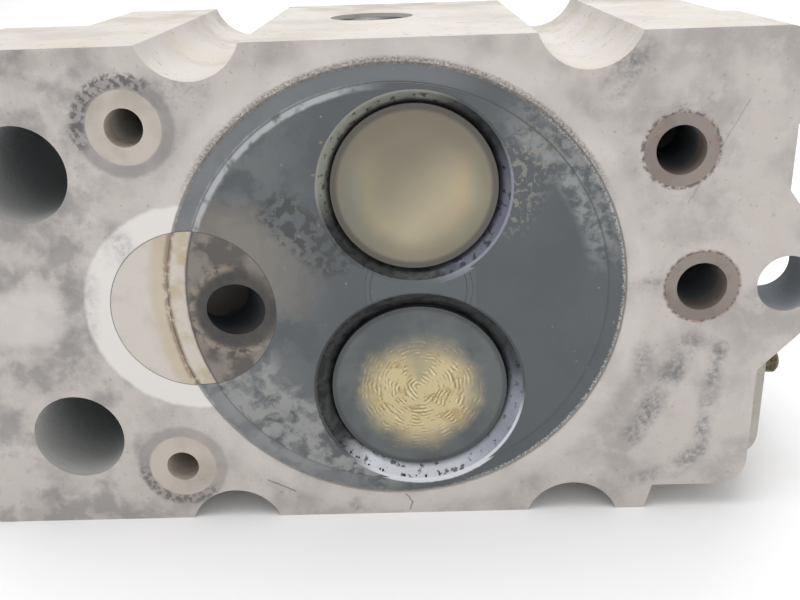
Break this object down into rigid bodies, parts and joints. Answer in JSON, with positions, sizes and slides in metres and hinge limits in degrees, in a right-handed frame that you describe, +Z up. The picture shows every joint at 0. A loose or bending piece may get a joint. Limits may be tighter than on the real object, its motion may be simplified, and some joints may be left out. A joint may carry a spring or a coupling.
{
  "type": "cylinder head",
  "caption": "Water-cooled single-cylinder diesel cylinder head with valves, swirl-chamber plug, rockers, springs, injector and glow plug, standing on a long side.",
  "frame": {"origin": "centre of the combustion circle on the deck face", "axes": "+X along the head towards the port end, +Y from the deck face into the head towards the rockers, +Z up across the head, which stands on a long side"},
  "size_m": [0.2055, 0.1255, 0.1037],
  "materials": {
    "cast_alloy": "cast, machined on the deck",
    "pedestal_alloy": "cast and machined",
    "plug_alloy": "heat-stained, ground flush",
    "seat_alloy": "machined",
    "exhaust_valve_steel": "heat-tinted",
    "intake_valve_steel": "sooty",
    "guide_bronze": "satin",
    "seal_rubber": "matte",
    "spring_steel": "satin",
    "hardened_steel": "ground",
    "forged_steel": "forged, machined on the faces",
    "bush_bronze": "satin",
    "bolt_steel": "dull zinc",
    "stud_steel": "olive zinc",
    "injector_steel": "satin",
    "copper_seal": "matte",
    "rusty_steel": "rusty",
    "core_plug_steel": "bright"
  },
  "bodies": {
    "head": {"head_casting": "cast_alloy", "rocker_pedestal": "pedestal_alloy", "hot_plug": "plug_alloy", "exhaust_seat_insert": "seat_alloy", "intake_seat_insert": "seat_alloy", "exhaust_valve_guide": "guide_bronze", "intake_valve_guide": "guide_bronze", "exhaust_stem_seal": "seal_rubber", "intake_stem_seal": "seal_rubber", "exhaust_outer_spring": "spring_steel", "intake_outer_spring": "spring_steel", "exhaust_inner_spring": "spring_steel", "intake_inner_spring": "spring_steel", "rocker_shaft": "hardened_steel", "rocker_thrust_washers": "hardened_steel", "shaft_circlips": "hardened_steel", "exhaust_spring_washer": "hardened_steel", "intake_spring_washer": "hardened_steel", "injector_clamp": "forged_steel", "pedestal_bolts": "bolt_steel", "pedestal_washers": "bolt_steel", "injector_studs": "bolt_steel", "injector_nuts": "bolt_steel", "manifold_studs": "stud_steel", "injector_body": "injector_steel", "injector_nozzle_nut": "injector_steel", "glow_plug": "injector_steel", "glow_plug_terminal_nut": "injector_steel", "injector_seal": "copper_seal", "coolant_ferrules": "rusty_steel", "oil_drilling_sleeves": "rusty_steel", "core_plug_upper": "core_plug_steel", "core_plug_lower": "core_plug_steel"},
    "exhaust_rocker_body": {"exhaust_rocker": "forged_steel", "exhaust_rocker_bush": "bush_bronze", "exhaust_adjuster_screw": "bolt_steel", "exhaust_adjuster_nut": "bolt_steel"},
    "exhaust_valve_body": {"exhaust_valve": "exhaust_valve_steel", "exhaust_spring_retainer": "hardened_steel", "exhaust_valve_cotters": "hardened_steel"},
    "intake_rocker_body": {"intake_rocker": "forged_steel", "intake_rocker_bush": "bush_bronze", "intake_adjuster_screw": "bolt_steel", "intake_adjuster_nut": "bolt_steel"},
    "intake_valve_body": {"intake_valve": "intake_valve_steel", "intake_spring_retainer": "hardened_steel", "intake_valve_cotters": "hardened_steel"}
  },
  "joints": [
    {"name": "exhaust_rocker_swing", "type": "hinge", "parent": "head", "child": "exhaust_rocker_body", "pos_m": [-0.034, 0.1045, 0], "axis": [0, 0, -1], "range_deg": [0, 12.85]},
    {"name": "exhaust_valve_lift", "type": "slide", "parent": "head", "child": "exhaust_valve_body", "axis": [0, -1, 0], "range_m": [0, 0.0085], "stiffness_N_per_m": 150, "springref_m": -0.003, "deforming": ["exhaust_outer_spring", "exhaust_inner_spring"]},
    {"name": "intake_rocker_swing", "type": "hinge", "parent": "head", "child": "intake_rocker_body", "pos_m": [-0.034, 0.1045, 0], "axis": [0, 0, -1], "range_deg": [0, 12.85]},
    {"name": "intake_valve_lift", "type": "slide", "parent": "head", "child": "intake_valve_body", "axis": [0, -1, 0], "range_m": [0, 0.0085], "stiffness_N_per_m": 150, "springref_m": -0.003, "deforming": ["intake_outer_spring", "intake_inner_spring"]}
  ],
  "couplings": [
    {"joint": "exhaust_valve_lift", "follows": "exhaust_rocker_swing", "m_per_rad": 0.03785},
    {"joint": "intake_valve_lift", "follows": "intake_rocker_swing", "m_per_rad": 0.03785}
  ]
}
